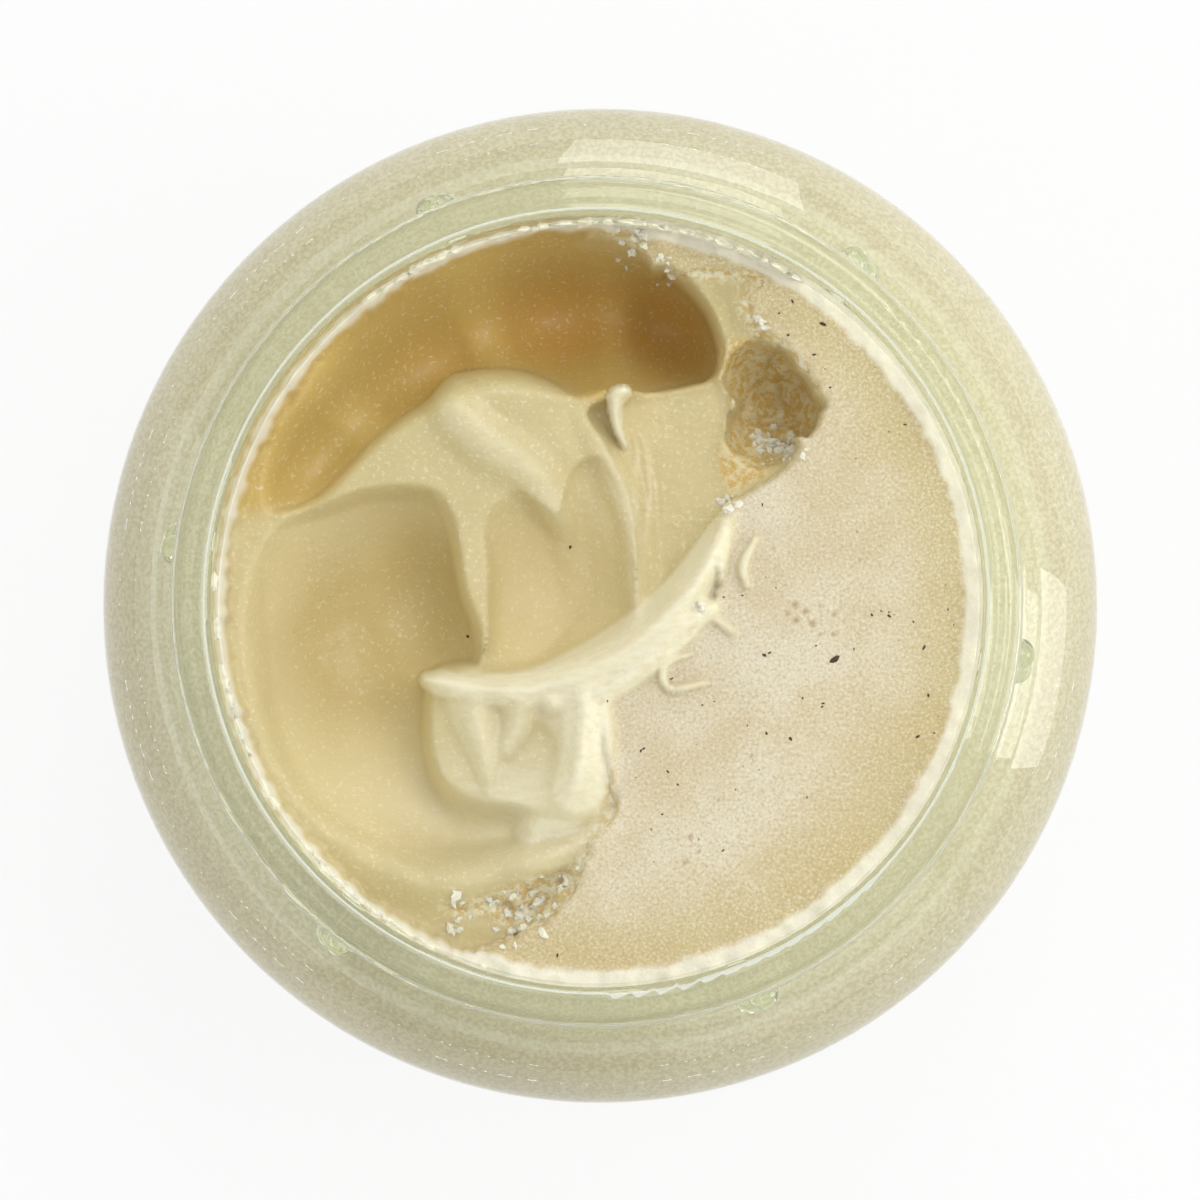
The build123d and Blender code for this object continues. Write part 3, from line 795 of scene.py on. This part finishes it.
class HONEY_OT_honey(bpy.types.Operator):
    """Make the dug honey from its relief and the inside of the glass"""
    bl_idname = "honey_jar.honey"
    bl_label = "Creamed honey"

    def execute(self, context):
        cells = context.scene.honey_sizes.grid
        bpy.ops.object.select_all(action="DESELECT")
        bpy.ops.mesh.primitive_grid_add(x_subdivisions=cells, y_subdivisions=cells, size=2)
        honey = context.object
        profile = cavity_profile()
        top_count = len(honey.data.vertices)
        bpy.ops.object.mode_set(mode="EDIT")
        bpy.ops.mesh.select_all(action="DESELECT")
        bpy.ops.mesh.select_non_manifold()
        for _ in profile:
            bpy.ops.mesh.extrude_region_move(TRANSFORM_OT_translate={"value": (0, 0, -1)})
        bpy.ops.mesh.edge_face_add()
        bpy.ops.object.mode_set(mode="OBJECT")

        mesh = honey.data
        points = np.empty(len(mesh.vertices) * 3, np.float32)
        mesh.vertices.foreach_get("co", points)
        points = points.reshape(-1, 3).astype(float)
        x, y = self.disc(points[:, 0], points[:, 1])
        ring = np.rint(-points[:, 2]).astype(int)
        top = ring == 0
        radius = MOUTH_RADIUS
        z, looks = relief(x[top] * radius, y[top] * radius)
        shape = np.zeros_like(points)
        reach = radius + WALL_BITE
        shape[top] = np.column_stack([x[top] * reach, y[top] * reach, z + LEVEL])
        for number, (ring_radius, height) in enumerate(profile, 1):
            at = ring == number
            shape[at] = np.column_stack([x[at] * (ring_radius + WALL_BITE),
                                         y[at] * (ring_radius + WALL_BITE),
                                         np.full(at.sum(), height - WALL_BITE)])
        mesh.vertices.foreach_set("co", (shape * MM).astype(np.float32).ravel())
        # Painted shade: deeper honey is coloured darker and browner.
        looks["depth"] = np.clip(-z / DEEPEST, 0, 1)
        looks["rim"] = ease((np.hypot(x[top], y[top]) - 0.70) / 0.26)
        for name, numbers in looks.items():
            whole = np.full(len(top), SIDE_DEPTH if name == "depth" else 0.0)
            whole[top] = numbers
            paint(mesh, name, whole)
        mesh.shade_smooth()
        mesh.update()
        only(honey)
        bpy.ops.object.mode_set(mode="EDIT")
        bpy.ops.mesh.select_all(action="SELECT")
        bpy.ops.mesh.normals_make_consistent(inside=False)
        bpy.ops.object.mode_set(mode="OBJECT")
        colours = context.scene.honey_colours
        dress(honey, "dug_honey", honey_finish(colours))
        mesh.materials.append(side_finish(colours))
        for face in mesh.polygons:
            face.material_index = int(not all(top[corner] for corner in face.vertices))
        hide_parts("creamed_honey")
        return {"FINISHED"}

    def disc(self, u, v):
        """Square grid to a round one with cells of nearly equal size."""
        wide = np.abs(u) > np.abs(v)
        safe_u = np.where(np.abs(u) < 1e-9, 1e-9, u)
        safe_v = np.where(np.abs(v) < 1e-9, 1e-9, v)
        radius = np.where(wide, u, v)
        angle = np.where(wide, math.pi / 4 * v / safe_u, math.pi / 2 - math.pi / 4 * u / safe_v)
        return radius * np.cos(angle), radius * np.sin(angle)


class HONEY_OT_specks(bpy.types.Operator):
    """Scatter dark specks on the foam"""
    bl_idname = "honey_jar.specks"
    bl_label = "Specks"

    LARGE = [(21.8, -5.2, 0.33), (15.3, -4.8, 0.17), (17.7, -12.5, 0.17), (25.2, -1.1, 0.13),
             (26.8, -1.2, 0.13), (30.0, -4.1, 0.15), (30.4, -8.5, 0.16), (29.4, -12.3, 0.13),
             (15.5, -12.0, 0.13), (20.7, 25.7, 0.2), (17.5, 24.7, 0.13), (17.9, 27.8, 0.12),
             (19.9, 22.9, 0.12), (-12.2, -3.0, 0.17), (-2.7, 5.4, 0.15), (4.2, -13.4, 0.1)]

    def execute(self, context):
        rng = np.random.default_rng(7)
        places = list(self.LARGE)
        while len(places) < len(self.LARGE) + context.scene.honey_sizes.speck_count:
            radius = 34.2 * math.sqrt(rng.uniform(0.02, 1))
            angle = rng.uniform(-2.2, 1.2)
            places.append((radius * math.cos(angle), radius * math.sin(angle),
                           rng.uniform(0.04, 0.11)))
        spots = np.array(places)
        z, looks = relief(spots[:, 0], spots[:, 1])
        chosen = []
        for number, ((x, y, size), height, skin) in enumerate(zip(places, z, looks["foam"])):
            if number < len(self.LARGE) or skin > 0.8:
                long = size * rng.uniform(1.0, 1.9)
                chosen.append(((x, y, height + LEVEL + 0.02), (long, size * 0.8, size * 0.4),
                               rng.uniform(0, math.pi), number))
        piece = scatter(little_ball(2), chosen, 0.25)
        dress(piece, "specks", speck_finish(context.scene.honey_colours))
        return {"FINISHED"}


class HONEY_OT_crumbs(bpy.types.Operator):
    """Scatter torn crumbs along the broken edges and smears on the glass"""
    bl_idname = "honey_jar.crumbs"
    bl_label = "Crumbs"

    # Torn stretches, (x, y, spread, share of the crumbs)
    TORN = [((3.6, 33.0), 1.6, 0.10), ((6.0, 31.4), 1.2, 0.08), ((14.8, 26.0), 0.7, 0.05),
            ((17.6, 14.6), 1.0, 0.14), ((15.5, 14.8), 1.6, 0.20), ((12.4, 9.4), 0.9, 0.07),
            ((-8.0, -28.0), 3.2, 0.18), ((-13.0, -29.2), 2.0, 0.08), ((-3.4, -25.6), 1.4, 0.06),
            ((9.4, -0.6), 0.8, 0.04)]
    # Smears on the glass: middle azimuth and spread in degrees, share
    SMEARED = [(83, 14, 0.45), (66, 4, 0.1), (195, 16, 0.15), (228, 14, 0.2), (120, 12, 0.1)]

    def execute(self, context):
        sizes = context.scene.honey_sizes
        rng = np.random.default_rng(11)
        ball = little_ball(2)
        spots = []
        for (x, y), spread, share in self.TORN:
            for _ in range(int(sizes.crumb_count * share)):
                spots.append((x + rng.normal(0, spread * 0.6), y + rng.normal(0, spread * 0.6),
                              rng.uniform(0.12, 0.42)))
        spots = np.array(spots)
        z = relief(spots[:, 0], spots[:, 1])[0]
        chosen = []
        for number, ((x, y, size), height) in enumerate(zip(spots, z)):
            half = (size * rng.uniform(0.8, 1.7), size, size * rng.uniform(0.5, 0.9))
            chosen.append(((x, y, height + LEVEL + 0.3 * size), half, rng.uniform(0, 3.1), number))
        for middle, spread, share in self.SMEARED:
            for number in range(int(sizes.smear_count * share)):
                angle = math.radians(middle + rng.normal(0, spread * 0.6))
                up = abs(rng.normal(0, 2.2)) - 0.3
                size = rng.uniform(0.10, 0.8)
                place = (MOUTH_RADIUS * math.cos(angle), MOUTH_RADIUS * math.sin(angle),
                         LEVEL + min(up, 9.0))
                chosen.append((place, (0.14 + size * 0.3, size * 1.5, size), angle, number))
        piece = scatter(ball, chosen, 0.6)
        dress(piece, "torn_crumbs", crumb_finish(context.scene.honey_colours))
        return {"FINISHED"}


class HONEY_OT_stage(bpy.types.Operator):
    """Lay the ground, set the lights and place the camera above the jar"""
    bl_idname = "honey_jar.stage"
    bl_label = "Stage"

    # Lamps: name, azimuth, elevation, distance, size across and up, watts
    LAMPS = [("key", 40, 62, 1.2, 1.0, 0.5, 4.7),
             ("box_right", -8, 14, 0.9, 0.38, 0.5, 2.2),
             ("box_behind", 80, 14, 0.8, 0.41, 0.4, 1.7),
             ("box_left", 193, 14, 0.8, 1.2, 0.4, 1.8),
             ("box_front", 300, 16, 0.9, 0.7, 0.4, 0.9)]

    # The camera's lean from upright in degrees, which way it leans, and where it looks
    LEAN = 1.3
    LEAN_WAY = (0.62, -0.78, 0)
    AIM = (0, 0.0005, 0.060)

    def execute(self, context):
        scene = context.scene
        scene.view_settings.view_transform = "Standard"
        # A still jar needs only short light paths
        scene.cycles.max_bounces = 8
        scene.cycles.diffuse_bounces = 2
        scene.cycles.transmission_bounces = 8
        bpy.ops.object.select_all(action="DESELECT")
        bpy.ops.mesh.primitive_plane_add(size=4.0, location=(0, 0, 0))
        ground = context.object
        ground.name = "ground"
        ground.data.materials.append(floor_finish())
        middle = Vector((0, 0, 0.06))
        for name, azimuth, elevation, distance, across, up, watts in self.LAMPS:
            data = bpy.data.lights.new(name, "AREA")
            data.shape = "RECTANGLE"
            data.size, data.size_y = across, up
            data.energy = watts
            lamp = bpy.data.objects.new(name, data)
            turn, tilt = math.radians(azimuth), math.radians(elevation)
            way = Vector((math.cos(turn) * math.cos(tilt), math.sin(turn) * math.cos(tilt),
                          math.sin(tilt)))
            lamp.location = middle + way * distance
            lamp.rotation_euler = (-way).to_track_quat("-Z", "Y").to_euler()
            scene.collection.objects.link(lamp)
        self.sky(scene)
        self.camera(scene)
        return {"FINISHED"}

    def sky(self, scene):
        """Studio light that is dim near the horizon, behind a white backdrop."""
        world = bpy.data.worlds.new("studio")
        world.use_nodes = True
        scene.world = world
        recipe = Recipe.around(world.node_tree)
        way = recipe.node("ShaderNodeTexCoord", output="Generated")
        height = recipe.node("ShaderNodeSeparateXYZ", None, {"Vector": way}, "Z")
        light = height.above(0.0, 0.80) * 0.80 + 0.05
        strength = light + (1 - light) * recipe.node("ShaderNodeLightPath", output="Is Camera Ray")
        lit = recipe.node("ShaderNodeBackground", None, {"Strength": strength})
        recipe.node("ShaderNodeOutputWorld", None, {"Surface": lit})

    def camera(self, scene):
        """Nearly straight above the mouth, leaning a little to the right and the front."""
        data = bpy.data.cameras.new("camera")
        data.lens = scene.honey_sizes.lens
        data.sensor_width = 36
        lean = math.radians(self.LEAN)
        reach = scene.honey_sizes.distance
        aside = Vector(self.LEAN_WAY) * math.sin(lean) * reach
        camera = bpy.data.objects.new("camera", data)
        camera.location = aside + Vector((0, 0, JAR_HEIGHT * MM + reach * math.cos(lean)))
        ahead = (Vector(self.AIM) - camera.location).normalized()
        across = ahead.cross(Vector((0, 1, 0))).normalized()
        turned = Matrix((across, across.cross(ahead), -ahead)).transposed()
        camera.rotation_euler = turned.to_euler()
        data.clip_start, data.clip_end = 0.01, 20
        scene.collection.objects.link(camera)
        scene.camera = camera


class HONEY_PT_panel(bpy.types.Panel):
    """Lists the pieces of the jar"""
    bl_label = "Honey jar"
    bl_idname = "HONEY_PT_panel"
    bl_space_type = "VIEW_3D"
    bl_region_type = "UI"
    bl_category = "Honey jar"

    def draw(self, context):
        for group in (context.scene.honey_sizes, context.scene.honey_colours):
            for name in group.__annotations__:
                self.layout.prop(group, name)
        for step in STEPS:
            self.layout.operator(step.bl_idname)


STEPS = (HONEY_OT_glass, HONEY_OT_honey, HONEY_OT_specks, HONEY_OT_crumbs, HONEY_OT_stage)
CLASSES = (HoneyColours, HoneySizes, *STEPS, HONEY_PT_panel)


def register():
    """Add the classes and their settings to Blender."""
    for item in CLASSES:
        bpy.utils.register_class(item)
    bpy.types.Scene.honey_colours = bpy.props.PointerProperty(type=HoneyColours)
    bpy.types.Scene.honey_sizes = bpy.props.PointerProperty(type=HoneySizes)


def unregister():
    """Take the classes and settings away again."""
    del bpy.types.Scene.honey_sizes
    del bpy.types.Scene.honey_colours
    for item in reversed(CLASSES):
        bpy.utils.unregister_class(item)


def main():
    """Build every piece in order."""
    register()
    bpy.ops.honey_jar.glass()
    bpy.ops.honey_jar.honey()
    bpy.ops.honey_jar.specks()
    bpy.ops.honey_jar.crumbs()
    bpy.ops.honey_jar.stage()


if __name__ == "__main__":
    main()
